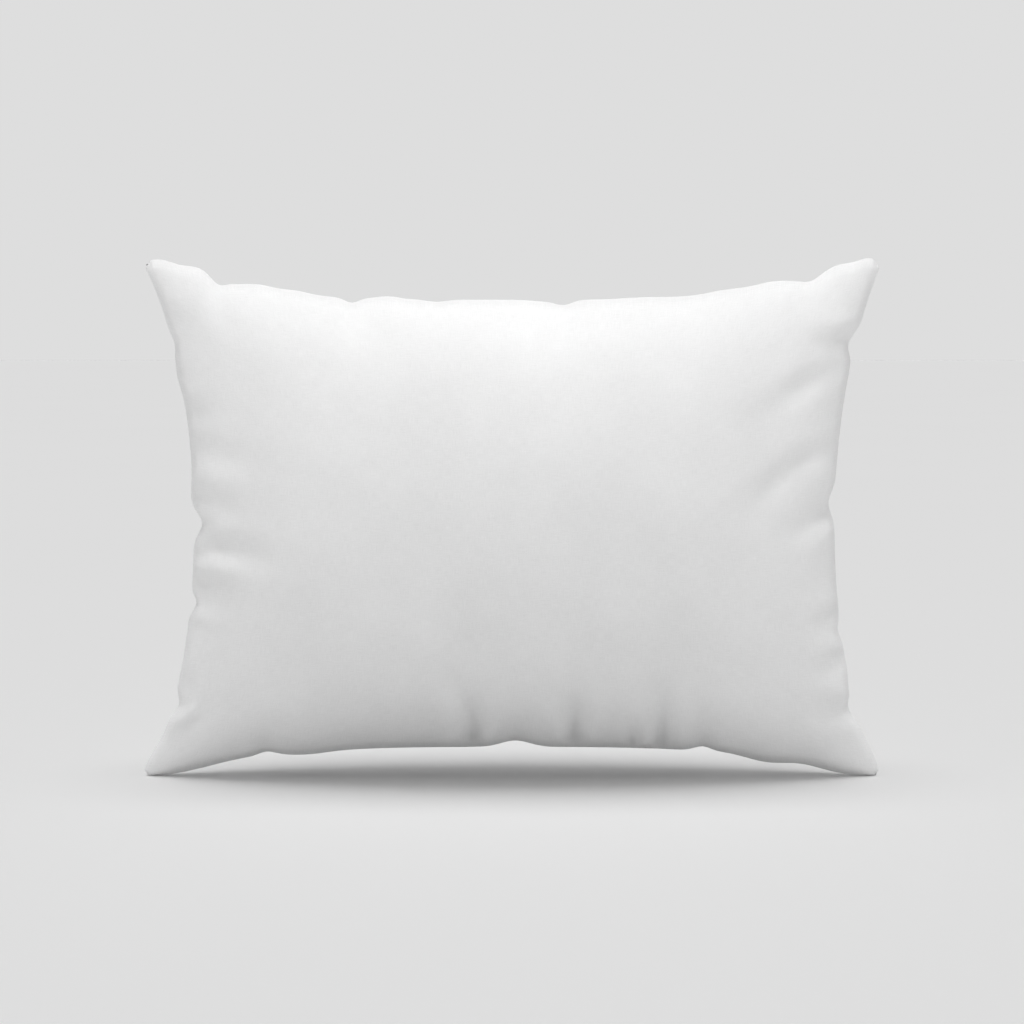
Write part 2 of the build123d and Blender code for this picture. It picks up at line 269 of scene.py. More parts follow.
def settle(piece, cut):
    """Runs the cloth simulation of the sewn panels, held along the seam."""
    cloth = piece.modifiers.new("cloth", "CLOTH")
    settings = cloth.settings
    settings.quality = 5
    settings.mass = 0.15
    settings.tension_stiffness = 30
    settings.compression_stiffness = 30
    settings.shear_stiffness = 15
    settings.bending_stiffness = 0.35
    settings.tension_damping = 8
    settings.compression_damping = 8
    settings.shear_damping = 8
    settings.air_damping = 3
    settings.use_pressure = True
    settings.uniform_pressure_force = PRESSURE
    settings.effector_weights.gravity = 0
    settings.vertex_group_mass = "seam"
    settings.pin_stiffness = 50
    settings.rest_shape_key = cut
    cloth.collision_settings.use_collision = False
    cloth.point_cache.frame_end = FRAMES
    for step in range(1, FRAMES + 1):
        bpy.context.scene.frame_set(step)


def refine(grid):
    """Twice as many points along both axes, on smooth curves through the old ones."""
    for axis in (0, 1):
        g = np.moveaxis(grid, axis, 0)
        wide = np.concatenate([2 * g[:1] - g[1:2], g, 2 * g[-1:] - g[-2:-1]])
        between = (9 * (wide[1:-2] + wide[2:-1]) - wide[:-3] - wide[3:]) / 16
        finer = np.empty((2 * len(g) - 1,) + g.shape[1:])
        finer[0::2] = g
        finer[1::2] = between
        grid = np.moveaxis(finer, 0, axis)
    return grid


def one_side(grid, side):
    """Keeps a panel on its own side of the seam's plane."""
    grid[..., 1] = side * np.maximum(side * grid[..., 1], SEAM_OPEN)
    return grid


def on_the_seam(grid, side):
    """Puts the outermost points of a refined panel back on the exact seam."""
    rows, columns = grid.shape[:2]
    exact = panel_shape(side, columns, rows)
    grid[0], grid[-1] = exact[0], exact[-1]
    grid[:, 0], grid[:, -1] = exact[:, 0], exact[:, -1]
    return grid


def drawn_tips(grid):
    """There is no fibre to fill the corner tips, so the cloth lies flatter and keeps inside."""
    rows, columns = grid.shape[:2]
    s, t = spots(columns, rows)
    x, z = cover_plane(s, t)
    away = ((1 - np.abs(s)) * HALF) ** 2 + ((1 - np.abs(t)) * MIDDLE) ** 2
    share = np.exp(-away / TIP_LIE**2)
    grid[..., 0] += (x - grid[..., 0]) * share
    grid[..., 2] += (z - grid[..., 2]) * share
    grid[..., 1] *= 1 - TIP_THIN * share
    return grid


def pucker_folds():
    """A short fold that runs inward from every nick of the seam."""
    share, length = PUCKER
    reach = length * 1e3
    folds = []
    for nicks, t in ((TOP_NICKS, 1.0), (BOTTOM_NICKS, -1.0)):
        for at, depth, spread in nicks:
            if depth > 1:
                x, z = cover_plane(np.array(at * 1e-3 / HALF), np.array(t))
                z = float(z) * 1e3
                folds.append((at, z, at * 0.97, z - t * reach, share * depth, spread * 0.7))
    for nicks, s in ((LEFT_NICKS, -1.0), (RIGHT_NICKS, 1.0)):
        for at, depth, spread in nicks:
            if depth > 1:
                t = np.array((at * 1e-3 - MIDDLE) / MIDDLE)
                x = float(cover_plane(np.array(s), t)[0]) * 1e3
                folds.append((x, at, x - s * reach, at, share * depth, spread * 0.7))
    return folds


def fold_cloth(grid, folds):
    """Sinks a groove along each fold, between two softer ridges."""
    x, z = grid[..., 0] * 1e3, grid[..., 2] * 1e3
    sink = np.zeros_like(x)
    for x1, z1, x2, z2, depth, spread in folds:
        length = math.hypot(x2 - x1, z2 - z1)
        ux, uz = (x2 - x1) / length, (z2 - z1) / length
        along = (x - x1) * ux + (z - z1) * uz
        off = (z - z1) * ux - (x - x1) * uz
        beyond = np.maximum(np.maximum(-along, along - length), 0)
        share = np.clip(along / length, 0, 1)
        width = spread * (1 + 0.4 * share)
        fade = np.exp(-((beyond / (1.3 * width)) ** 2)) * (1 - 0.6 * share)
        groove = np.exp(-((off / width) ** 2))
        ridge = 0.4 * np.exp(-(((np.abs(off) - 1.9 * width) / (1.1 * width)) ** 2))
        sink += FOLD_DEPTH * depth * 1e-3 * fade * (groove - ridge)
    y = grid[..., 1]
    room = np.clip((np.abs(y) - SEAM_OPEN) / FOLD_ROOM, 0, 1)
    grid[..., 1] = y - np.sign(y) * sink * room
    return grid


def slack(grid, seed):
    """The faint unevenness of cloth over loose filling."""
    x, z = grid[..., 0], grid[..., 2]
    rise = np.zeros_like(x)
    for k in range(1, 7):
        a, b = 9.0 + 5.1 * k, 7.0 + 4.3 * k
        phase = seed * 1.7 + k * k
        rise += np.sin(a * x + 3 * z * k + phase) * np.sin(b * z - 2 * x * k + 2 * phase) / k
    y = grid[..., 1]
    room = np.clip(np.abs(y) / SLACK[1], 0, 1)
    grid[..., 1] = y + np.sign(y) * SLACK[0] * rise * room
    return grid


def normals(grid, side):
    """The outward direction at each point of a panel."""
    across = np.gradient(grid, axis=1)
    up = np.gradient(grid, axis=0)
    out = np.cross(across, up) * -side
    return out / np.maximum(np.linalg.norm(out, axis=-1, keepdims=True), 1e-12)


def new_piece(name, points, faces, uv=None):
    """A mesh object of the given points and faces, a list or an array, shaded smooth."""
    mesh = bpy.data.meshes.new(name)
    mesh.from_pydata(points.tolist(), [], faces if isinstance(faces, list) else faces.tolist())
    mesh.shade_smooth()
    if uv is not None:
        layer = mesh.uv_layers.new(name="cut")
        corners = np.empty(len(mesh.loops), dtype=np.int64)
        mesh.loops.foreach_get("vertex_index", corners)
        layer.data.foreach_set("uv", uv[corners].ravel())
    piece = bpy.data.objects.new(name, mesh)
    bpy.context.scene.collection.objects.link(piece)
    return piece


def rim_faces(quads, shift):
    """Faces that join the open edges of a surface to those of its copy, shift points later."""
    edges = np.concatenate([quads[:, [k, (k + 1) % 4]] for k in range(4)])
    low, high = edges.min(axis=1), edges.max(axis=1)
    key = low * (quads.max() + 1) + high
    first, count = np.unique(key, return_index=True, return_counts=True)[1:]
    a, b = edges[first[count == 1]].T
    return np.stack([b, a, a + shift, b + shift], axis=1)


def thick_sheet(name, outer, inner, side, cut, keep=None):
    """A closed sheet between two grids of points, with the flat cut as its UV map."""
    rows, columns = outer.shape[:2]
    count = rows * columns
    skin = grid_faces(columns, rows, 0, side > 0, keep)
    lining = grid_faces(columns, rows, count, side < 0, keep)
    faces = np.concatenate([skin, lining, rim_faces(skin, count)])
    points = np.concatenate([outer.reshape(-1, 3), inner.reshape(-1, 3)])
    u, v = np.meshgrid(np.linspace(0, cut[0], columns), np.linspace(0, cut[1], rows))
    flat = np.stack([u.ravel(), v.ravel()], axis=1)
    uv = np.concatenate([flat, flat])
    used = np.unique(faces)
    renumber = np.zeros(len(points), dtype=np.int64)
    renumber[used] = np.arange(len(used))
    sheet = new_piece(name, points[used], renumber[faces], uv[used])
    sheet.data.set_sharp_from_angle(angle=math.radians(50))
    return sheet


def seamed_lining(lining, grid):
    """Draws the rim of a sheet's inner face in from the seam, by the cloth's own thickness."""
    for rim in ((-1, slice(None)), (slice(None), 0), (slice(None), -1)):
        line = grid[rim]
        toward = np.array([0, 0, MIDDLE]) - line
        toward[:, 1] = 0
        toward /= np.linalg.norm(toward, axis=1, keepdims=True)
        lining[rim] = line + CLOTH * toward
    return lining


def hem_rows(grid, side):
    """The rows of cloth that turn in along the zip, from the shelf under the tape to the edge."""
    edge = grid[0]
    path = [
        (-TAPE_LOW.y, HEM_TOP), (SLOT_HALF + 0.0035, HEM_TOP),
        (SLOT_HALF + 0.0006, HEM_TOP - 0.0001), (SLOT_HALF, HEM_TOP - 0.0007),
    ]
    parted = np.abs(edge[:, 1]) - SLOT_HALF
    rows = []
    for out, z in path:
        row = edge.copy()
        row[:, 1] = side * (out + parted)
        row[:, 2] = z
        rows.append(row)
    for share in (0.66, 0.33, 0.1):
        row = edge.copy()
        row[:, 2] = edge[:, 2] + share * (HEM_TOP - edge[:, 2])
        rows.append(row)
    return np.stack(rows)


def cover_panel(name, grid, side):
    """One cover panel as a closed sheet, with its hem turned in along the zip."""
    hem = hem_rows(grid, side)
    whole = np.concatenate([hem, grid])
    rows, columns = whole.shape[:2]
    keep = np.ones((rows - 1, columns - 1), dtype=bool)
    x = grid[0, :, 0]
    keep[: len(hem)] = (x[:-1] > ZIP_LOW.x - SLOT_RAMP) & (x[1:] < ZIP_HIGH.x + SLOT_RAMP)
    out = np.concatenate([normals(whole, side)[: len(hem)], normals(grid, side)])
    lining = whole - CLOTH * out
    lining[len(hem) :] = seamed_lining(lining[len(hem) :], grid)
    return thick_sheet(name, whole, one_side(lining, side), side, CUT, keep)


# ---------------------------------------------------------------- inner layers


def ticking_grid(cover, side):
    """The inner pillow's panel: the same fullness as the cover, inside its own seam."""
    rows, columns = cover.shape[:2]
    s, t = spots(columns, rows)
    middle = (TICKING_LOW.z + TICKING_HIGH.z) / 2
    half = (TICKING_HIGH.z - TICKING_LOW.z) / 2
    x = s * (TICKING_HIGH.x - TICKING_SIDE * (1 - np.abs(t) ** SIDE_POWER))
    pull = np.where(t > 0, TICKING_TOP, TICKING_BOTTOM)
    power = np.where(t > 0, TOP_POWER, TICKING_BOTTOM_POWER)
    z = middle + t * (half - pull * (1 - np.abs(s) ** power))
    share = abs(TICKING_LOW.y) / (LOFT / 2) * TICKING_FULLNESS
    y = side * SEAM_OPEN + cover[..., 1] * share
    rim = np.maximum(np.abs(s), np.abs(t)) == 1
    y = np.where(rim, side * SEAM_OPEN, y)
    return np.stack([x, y, z], axis=-1)


def shrunk(grid, gap):
    """The same grid, drawn in towards the middle of the pillow by a gap."""
    crown = np.abs(grid[..., 1]).max()
    middle = (grid[..., 2].min() + grid[..., 2].max()) / 2
    half_z = (grid[..., 2].max() - grid[..., 2].min()) / 2
    half_x = np.abs(grid[..., 0]).max()
    small = grid.copy()
    small[..., 0] *= 1 - gap / half_x
    small[..., 2] = middle + (grid[..., 2] - middle) * (1 - gap / half_z)
    small[..., 1] *= 1 - gap / crown
    return small


def lumps(grid, depth, seed):
    """Loose fibre never lies smooth: soft hollows, all of them inward."""
    x, z = grid[..., 0], grid[..., 2]
    total = np.zeros_like(x)
    for k, (a, b) in enumerate([(31, 23), (47, 61), (83, 71), (127, 139)]):
        wave = np.sin(a * x + seed + k) * np.cos(b * z + 2 * seed - k) + np.sin(b * x - a * z + k)
        total += (0.5 + 0.25 * wave) / (k + 1)
    room = np.clip(np.abs(grid[..., 1]) / 0.03, 0, 1)
    grid[..., 1] -= np.sign(grid[..., 1]) * depth * total / 2.1 * room
    return grid


def closed_bag(name, front, back, cut):
    """Two grids of points joined along their shared rim into one closed body."""
    rows, columns = front.shape[:2]
    count = rows * columns
    skin = grid_faces(columns, rows, 0, False)
    other = grid_faces(columns, rows, count, True)
    faces = np.concatenate([skin, other, rim_faces(skin, count)])
    points = np.concatenate([front.reshape(-1, 3), back.reshape(-1, 3)])
    u, v = np.meshgrid(np.linspace(0, cut[0], columns), np.linspace(0, cut[1], rows))
    flat = np.stack([u.ravel(), v.ravel()], axis=1)
    return new_piece(name, points, faces, np.concatenate([flat, flat]))


def seam_line(grid):
    """The points of a panel's rim in order, each side as a list of points on the middle plane."""
    sides = {"bottom": grid[0], "right": grid[:, -1], "top": grid[-1][::-1], "left": grid[::-1, 0]}
    lines = {}
    for name, line in sides.items():
        flat = line.copy()
        flat[:, 1] = 0
        lines[name] = flat
    return lines


def inward(line):
    """The direction in the seam's plane that points into the pillow, along one side."""
    run = np.gradient(line, axis=0)
    turn = np.stack([-run[:, 2], 0 * run[:, 0], run[:, 0]], axis=1)
    return turn / np.maximum(np.linalg.norm(turn, axis=1, keepdims=True), 1e-12)


def strips_of(grid, clip, mouth=None):
    """The four sides of a seam without their corners, and without the zip's mouth."""
    strips = []
    for name, line in seam_line(grid).items():
        axis = 0 if name in ("bottom", "top") else 2
        low, high = line[:, axis].min() + clip, line[:, axis].max() - clip
        inside = (line[:, axis] > low) & (line[:, axis] < high)
        turn = inward(line)
        if mouth and name == "bottom":
            left = inside & (line[:, 0] < mouth[0])
            right = inside & (line[:, 0] > mouth[1])
            strips += [(line[left], turn[left]), (line[right], turn[right])]
        else:
            strips.append((line[inside], turn[inside]))
    return strips


def allowance(name, grid, mouth=None):
    """The turned-in edges of both panels, flat against each other inside the seam."""
    points, faces, uv = [], [], []
    near, far = ALLOWANCE
    inner, outer = ALLOWANCE_LAYER
    total = 0
    for line, turn in strips_of(grid, CORNER_CLIP, mouth):
        count = len(line)
        length = np.arange(count) * CELL / 2
        for side in (-1, 1):
            for inset, y in ((near, inner), (far, inner), (far, outer), (near, outer)):
                row = line + turn * inset
                wave = 0.0001 * np.sin(np.arange(count) * 0.9 + inset * 900)
                row[:, 1] = side * (y + np.abs(wave))
                points.append(row)
                uv.append(np.stack([length, np.full(count, inset)], axis=1))
            number = total + np.arange(4 * count).reshape(4, count)
            faces += tube_faces(number, flip=side > 0)
            total += 4 * count
    return new_piece(name, np.concatenate(points), faces, np.concatenate(uv))


def tube_faces(number, flip=False):
    """The faces of a tube whose rings are the columns of an array of point numbers."""
    sides, count = number.shape
    faces = []
    for i in range(count - 1):
        for k in range(sides):
            j = (k + 1) % sides
            face = [number[k, i], number[j, i], number[j, i + 1], number[k, i + 1]]
            faces.append([int(n) for n in (face if flip else face[::-1])])
    for i, turned in ((0, flip), (count - 1, not flip)):
        cap = [int(n) for n in number[:, i]]
        faces.append(cap[::-1] if turned else cap)
    return faces


def thread(name, lines, radius, sides=5):
    """Closed round thread along each line of points, as one mesh."""
    points, faces = [], []
    total = 0
    for line in lines:
        count = len(line)
        run = np.gradient(line, axis=0)
        run /= np.maximum(np.linalg.norm(run, axis=1, keepdims=True), 1e-12)
        aside = np.cross(run, [0.31, 0.52, 0.79])
        aside /= np.maximum(np.linalg.norm(aside, axis=1, keepdims=True), 1e-12)
        other = np.cross(run, aside)
        rings = []
        for k in range(sides):
            a = 2 * math.pi * k / sides
            rings.append(line + radius * (math.cos(a) * aside + math.sin(a) * other))
        points.append(np.concatenate(rings))
        number = total + np.arange(sides * count).reshape(sides, count)
        faces += tube_faces(number, flip=True)
        total += sides * count
    return new_piece(name, np.concatenate(points), faces)


def resampled(line, turn, step):
    """The same line with points at an even step, and its inward directions."""
    length = np.concatenate([[0], np.cumsum(np.linalg.norm(np.diff(line, axis=0), axis=1))])
    count = max(int(length[-1] / step), 2)
    at = np.linspace(0, length[-1], count)
    return (
        at,
        np.stack([np.interp(at, length, line[:, k]) for k in range(3)], axis=1),
        np.stack([np.interp(at, length, turn[:, k]) for k in range(3)], axis=1),
    )


def overlock(name, grid, mouth=None):
    """Thread that wraps round the inner edge of both turned-in edges, loop after loop."""
    lines = []
    for line, turn in strips_of(grid, CORNER_CLIP, mouth):
        at, spine, inner = resampled(line, turn, 0.0004)
        angle = 2 * math.pi * at / OVERLOCK_PITCH
        loop = spine + inner * (0.0096 + 0.0012 * np.cos(angle))[:, None]
        loop[:, 1] = 0.0014 * np.sin(angle)
        lines.append(loop)
    return thread(name, lines, 0.00018, 4)


def closing_stitches(name, grid):
    """Overcast stitches by hand round the seam's edge, on the left side."""
    line = seam_line(grid)["left"]
    turn = inward(line)
    middle = (line[:, 2].max() + line[:, 2].min()) / 2
    some = np.abs(line[:, 2] - middle) < CLOSING_HALF
    at, spine, inner = resampled(line[some], turn[some], 0.0005)
    angle = 2 * math.pi * at / CLOSING_PITCH
    loop = spine - inner * (0.0004 + 0.0012 * np.cos(angle))[:, None]
    loop[:, 1] = 0.0019 * np.sin(angle)
    return thread(name, [loop], 0.00025, 5)


def sample(grid, s, t):
    """The points of a grid at places across and up it, between its own points."""
    rows, columns = grid.shape[:2]
    i = (s + 1) / 2 * (columns - 1)
    j = (t + 1) / 2 * (rows - 1)
    i0 = np.clip(i.astype(int), 0, columns - 2)
    j0 = np.clip(j.astype(int), 0, rows - 2)
    a, b = (i - i0)[..., None], (j - j0)[..., None]
    low = grid[j0, i0] * (1 - a) + grid[j0, i0 + 1] * a
    high = grid[j0 + 1, i0] * (1 - a) + grid[j0 + 1, i0 + 1] * a
    return low * (1 - b) + high * b


def care_label(name, grid):
    """A blank folded tape, sewn in at the side seam and lying along the ticking's back."""
    s, t = np.meshgrid(np.linspace(0.93, 0.99, 15), np.linspace(-0.18, -0.02, 25))
    patch = sample(grid, s, t)
    out = normals(patch, 1)
    lift = 0.0007 + 0.0003 * np.sin(np.linspace(0, math.pi, 25))[:, None, None]
    outer = patch + out * (lift + 0.0003)
    inner = patch + out * lift
    return thick_sheet(name, outer, inner, 1, (0.022, 0.034))


# ---------------------------------------------------------------- the zip


def zip_tape(name, side):
    """One woven tape, faintly rippled, with a thicker cord along its inner edge."""
    inner, outer = abs(TAPE_HIGH.y), abs(TAPE_LOW.y)
    x = np.linspace(TAPE_LOW.x, TAPE_HIGH.x, 220)
    y = side * np.linspace(inner, outer, 14)
    gx, gy = np.meshgrid(x, y)
    ripple = 0.00008 * np.sin(gx * 160) * np.sin(np.abs(gy) * 420)
    bead = 0.0001 * np.exp(-(((np.abs(gy) - inner - 0.0012) / 0.0007) ** 2))
    top = np.stack([gx, gy, TAPE_HIGH.z - 0.0002 + ripple + bead], axis=-1)
    bottom = np.stack([gx, gy, TAPE_LOW.z + ripple], axis=-1)
    size = (TAPE_HIGH.x - TAPE_LOW.x, outer - inner)
    return thick_sheet(name, top, bottom, -side, size)


def zip_coil(name, side):
    """One nylon coil: flattened turns whose heads reach past the middle of the chain."""
    length = ZIP_HIGH.x - ZIP_LOW.x - 0.0006
    steps = int(length / COIL_PITCH * 14)
    run = np.linspace(0, length, steps)
    angle = 2 * math.pi * run / COIL_PITCH + (math.pi if side > 0 else 0)
    head = np.cos(angle)
    reach = side * (0.0009 - 0.0015 * np.sign(head) * np.abs(head) ** 0.7)
    z = COIL_HEIGHT + 0.0007 * np.sin(angle)
    x = ZIP_LOW.x + 0.0003 + run
    return thread(name, [np.stack([x, reach, z], axis=1)], COIL_WIRE, 6)


def tape_stitches(name):
    """A row of machine stitches through each tape and hem."""
    lines = []
    count = int((ZIP_HIGH.x - ZIP_LOW.x) / STITCH_PITCH)
    for side in (-1, 1):
        for i in range(count):
            x = ZIP_LOW.x + 0.002 + i * STITCH_PITCH
            share = np.linspace(0, 1, 6)
            z = TAPE_HIGH.z + 0.00002 + 0.00018 * np.sin(math.pi * share)
            y = np.full(6, side * STITCH_LINE)
            lines.append(np.stack([x + STITCH_LENGTH * share, y, z], axis=1))
    return thread(name, lines, 0.00017, 5)


def bar_tacks(name):
    """Dense zigzag stitching from hem to hem at both ends of the opening."""
    low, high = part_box("zip_bar_tacks")
    lines = []
    for x0 in (low.x, high.x - 0.0016):
        for layer in range(5):
            z = low.z + 0.0006 + (high.z - low.z - 0.0012) * layer / 4
            turns = np.linspace(0, 1, 29)
            x = x0 + 0.0003 + 0.001 * turns
            y = (high.y - 0.0004) * np.sign(np.sin(math.pi * 14 * turns + 1.57))
            lines.append(np.stack([x, y, np.full(29, z)], axis=1))
    return thread(name, lines, 0.00022, 5)


def softened(name, node, width, segments=3):
    """A copy of a hard CAD node with its edges rounded."""
    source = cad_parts[node]
    piece = bpy.data.objects.new(name, source.data.copy())
    bpy.context.scene.collection.objects.link(piece)
    piece.data.materials.clear()
    weld = piece.modifiers.new("weld", "WELD")
    weld.merge_threshold = 1e-5
    bevel = piece.modifiers.new("edges", "BEVEL")
    bevel.width = width
    bevel.segments = segments
    bevel.limit_method = "ANGLE"
    made = bpy.data.meshes.new_from_object(
        piece.evaluated_get(bpy.context.evaluated_depsgraph_get())
    )
    bpy.data.objects.remove(piece)
    made.name = name
    made.shade_smooth()
    piece = bpy.data.objects.new(name, made)
    bpy.context.scene.collection.objects.link(piece)
    return piece


# ---------------------------------------------------------------- materials


class Look:
    """A procedural material in the making."""

    def __init__(self, name, rough, metallic=0.0, sheen=0.0, coat=0.0):
        self.material = bpy.data.materials.new(name)
        self.material.use_nodes = True
        self.tree = self.material.node_tree
        self.shader = self.tree.nodes["Principled BSDF"]
        self.shader.inputs["Roughness"].default_value = rough
        self.shader.inputs["Metallic"].default_value = metallic
        self.shader.inputs["Sheen Weight"].default_value = sheen
        self.shader.inputs["Sheen Roughness"].default_value = 0.6
        self.shader.inputs["Coat Weight"].default_value = coat
        self.shader.inputs["Specular IOR Level"].default_value = 0.25
        coordinates = self.tree.nodes.new("ShaderNodeTexCoord")
        self.uv = coordinates.outputs["UV"]
        self.place = coordinates.outputs["Object"]

    def node(self, kind, links=(), values=(), **settings):
        made = self.tree.nodes.new(kind)
        for key, value in settings.items():
            setattr(made, key, value)
        for socket, value in dict(values).items():
            made.inputs[socket].default_value = value
        for socket, source in dict(links).items():
            self.tree.links.new(source, made.inputs[socket])
        return made

    def scaled(self, source, scale, turn=0.0):
        values = {"Scale": scale, "Rotation": (0, 0, turn)}
        return self.node("ShaderNodeMapping", {"Vector": source}, values).outputs[0]

    def noise(self, source, scale, detail=3.0, rough=0.6):
        values = {"Scale": 1.0, "Detail": detail, "Roughness": rough}
        vector = self.scaled(source, scale)
        return self.node("ShaderNodeTexNoise", {"Vector": vector}, values).outputs["Fac"]

    def threads(self, source, pitch, turn=0.0, waver=0.6):
        """Ridges side by side, one thread wide, that waver a little."""
        vector = self.scaled(source, (1, 1, 1), turn)
        values = {
            "Scale": math.pi / 10 / pitch, "Distortion": waver,
            "Detail": 1.0, "Detail Scale": 0.4,
        }
        return self.node(
            "ShaderNodeTexWave", {"Vector": vector}, values, bands_direction="X"
        ).outputs["Fac"]

    def maths(self, operation, a, b):
        made = self.node("ShaderNodeMath", operation=operation)
        for socket, value in zip(made.inputs, (a, b)):
            if isinstance(value, (int, float)):
                socket.default_value = value
            else:
                self.tree.links.new(value, socket)
        return made.outputs[0]

    def colour(self, factor, dark, light, low=0.3, high=0.7):
        ramp = self.node("ShaderNodeValToRGB", {"Fac": factor})
        first, last = ramp.color_ramp.elements
        first.position, last.position = low, high
        first.color = (*dark, 1)
        last.color = (*light, 1)
        self.tree.links.new(ramp.outputs["Color"], self.shader.inputs["Base Color"])

    def roughness(self, factor, low, high):
        values = {"To Min": low, "To Max": high}
        made = self.node("ShaderNodeMapRange", {"Value": factor}, values)
        self.tree.links.new(made.outputs[0], self.shader.inputs["Roughness"])

    def bump(self, height, strength, distance):
        values = {"Strength": strength, "Distance": distance}
        made = self.node("ShaderNodeBump", {"Height": height}, values)
        self.tree.links.new(made.outputs["Normal"], self.shader.inputs["Normal"])


def plain_weave(name, dark, light, pitch, slub, bump, sheen):
    """Woven cotton: crossing threads, thick and thin places, and a little sheen."""
    look = Look(name, 0.86, sheen=sheen)
    warp = look.threads(look.uv, pitch)
    weft = look.threads(look.uv, pitch, math.pi / 2)
    long_slub = look.noise(look.uv, (90, 1400, 1), 2)
    cross_slub = look.noise(look.uv, (1400, 90, 1), 2)
    grain = look.noise(look.uv, (1100, 1100, 1), 3)
    broad = look.noise(look.uv, (9, 9, 1), 3)
    weave = look.maths("ADD", warp, weft)
    slubs = look.maths("ADD", long_slub, cross_slub)
    uneven = look.maths("MULTIPLY", look.maths("ADD", slubs, grain), slub)
    height = look.maths("ADD", look.maths("MULTIPLY", weave, 0.3), uneven)
    tint = look.maths("MULTIPLY", look.maths("ADD", slubs, look.maths("ADD", grain, broad)), 0.25)
    look.colour(tint, dark, light, 0.38, 0.62)
    look.roughness(grain, 0.8, 0.94)
    look.bump(height, bump, 0.0004)
    return look.material


def twill(name, dark, light, pitch, bump):
    """Dense diagonal weave, as of ticking and tape."""
    look = Look(name, 0.8, sheen=0.15)
    diagonal = look.threads(look.uv, pitch, math.radians(58), 0.3)
    cross = look.threads(look.uv, pitch * 0.8, math.pi / 2, 0.3)
    grain = look.noise(look.uv, (900, 900, 1), 3)
    height = look.maths("ADD", look.maths("ADD", diagonal, look.maths("MULTIPLY", cross, 0.4)), grain)
    tint = look.maths("ADD", look.maths("MULTIPLY", diagonal, 0.3), grain)
    look.colour(tint, dark, light, 0.4, 0.9)
    look.roughness(grain, 0.72, 0.9)
    look.bump(height, bump, 0.0003)
    return look.material


def fibre(name):
    """Hollow polyester fibre: tangled strands in soft clumps."""
    look = Look(name, 0.9, sheen=0.5)
    strands = look.noise(look.place, (700, 90, 500), 6, 0.75)
    tangle = look.noise(look.place, (160, 480, 190), 6, 0.7)
    clumps = look.noise(look.place, (38, 38, 38), 3)
    height = look.maths("ADD", look.maths("ADD", strands, tangle), look.maths("MULTIPLY", clumps, 2))
    tint = look.maths("MULTIPLY", height, 0.25)
    look.colour(tint, (0.74, 0.75, 0.76), (0.93, 0.93, 0.93), 0.35, 0.62)
    look.roughness(strands, 0.8, 1.0)
    look.bump(height, 0.7, 0.002)
    return look.material


def spun(name, dark, light):
    """Twisted sewing thread."""
    look = Look(name, 0.6, sheen=0.3)
    twist = look.threads(look.place, 0.00035, math.radians(35), 0.4)
    fuzz = look.noise(look.place, (2600, 2600, 2600), 2)
    tint = look.maths("ADD", look.maths("MULTIPLY", twist, 0.6), look.maths("MULTIPLY", fuzz, 0.4))
    look.colour(tint, dark, light, 0.2, 0.8)
    look.roughness(fuzz, 0.5, 0.75)
    look.bump(look.maths("ADD", twist, fuzz), 0.4, 0.0001)
    return look.material


def nylon():
    """Matt white nylon, a little waxy."""
    look = Look("zip_coil", 0.42, coat=0.1)
    flow = look.noise(look.place, (300, 2200, 2200), 3)
    look.colour(flow, (0.78, 0.79, 0.78), (0.86, 0.86, 0.85), 0.3, 0.7)
    look.roughness(flow, 0.34, 0.52)
    look.bump(flow, 0.15, 0.00005)
    return look.material


def painted_metal():
    """White lacquer on die-cast metal: orange peel, and darker scuffs here and there."""
    look = Look("zip_metal", 0.3, coat=0.4)
    peel = look.noise(look.place, (1500, 1500, 1500), 2)
    scuffs = look.noise(look.place, (420, 900, 420), 5, 0.8)
    look.colour(scuffs, (0.55, 0.55, 0.56), (0.82, 0.82, 0.81), 0.3, 0.42)
    look.roughness(peel, 0.24, 0.4)
    look.bump(look.maths("ADD", peel, look.maths("MULTIPLY", scuffs, 0.4)), 0.2, 0.00006)
    return look.material


# ---------------------------------------------------------------- build


def dress(piece, look, body, slot, *nodes):
    """Gives a finished piece its material and its body, and hides the CAD nodes it stands for. The
    slot is not used.
    """
    piece.data.materials.clear()
    piece.data.materials.append(look)
    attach(piece, body)
    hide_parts(*nodes)
    return piece


def cover_grids():
    """The front and back panels of the cover, as simulated, at the simulation's own detail."""
    columns = int(round(CUT[0] / CELL)) + 1
    rows = int(round(CUT[1] / CELL)) + 1
    front, back = panel_shape(-1, columns, rows), panel_shape(1, columns, rows)
    front, back = inflate(front, back)
    return front, back


COTTON = plain_weave(
    "cotton_cover", (0.785, 0.785, 0.785), (0.895, 0.895, 0.895), 0.00045, 0.5, 0.4, 0.12
)
TICKING = twill("cotton_ticking", (0.74, 0.73, 0.70), (0.86, 0.85, 0.82), 0.0006, 0.4)
FIBRE = fibre("polyester_fibre")
THREAD = spun("sewing_thread", (0.78, 0.78, 0.77), (0.9, 0.9, 0.9))
TAPE = twill("zip_tape", (0.76, 0.76, 0.75), (0.87, 0.87, 0.86), 0.0005, 0.5)
LABEL = plain_weave(
    "label_tape", (0.84, 0.84, 0.83), (0.92, 0.92, 0.91), 0.00025, 0.2, 0.25, 0.4
)
NYLON = nylon()
METAL = painted_metal()

plain_front, plain_back = cover_grids()
grids = []
for side, plain, folds in ((-1, plain_front, FRONT_FOLDS), (1, plain_back, BACK_FOLDS)):
    fine = drawn_tips(on_the_seam(refine(plain), side))
    fine = one_side(slack(fold_cloth(fine, folds + pucker_folds()), side), side)
    grids.append(fine)

